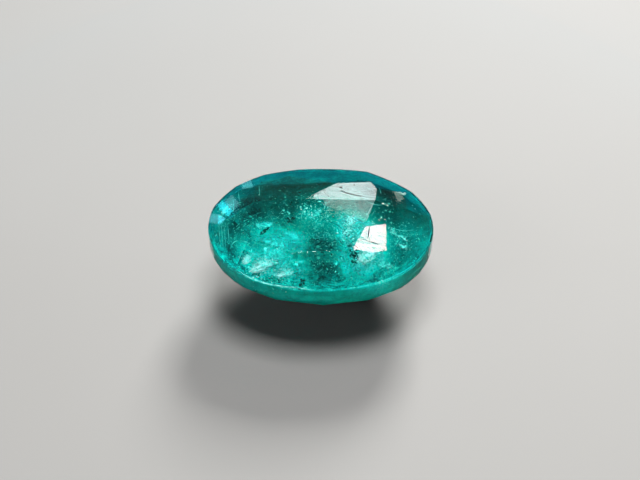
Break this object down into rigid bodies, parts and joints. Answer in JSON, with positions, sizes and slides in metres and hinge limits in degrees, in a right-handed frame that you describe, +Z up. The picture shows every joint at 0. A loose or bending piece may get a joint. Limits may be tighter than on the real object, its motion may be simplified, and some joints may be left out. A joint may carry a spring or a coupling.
{
  "type": "faceted oval emerald gemstone",
  "caption": "Loose oval emerald, cut with a broad table, an irregular crown, a thick girdle and a bulging stepped pavilion, resting level on a flat culet.",
  "frame": {"origin": "middle of the flat culet on which the stone rests, at the centre of the oval", "axes": "+X along the oval's long axis, +Y across it, +Z up through the table"},
  "size_m": [0.009, 0.0068, 0.0039],
  "materials": {
    "emerald": "polished clear green crystal with natural inclusions"
  },
  "bodies": {
    "root": {"emerald": "emerald"}
  },
  "joints": []
}
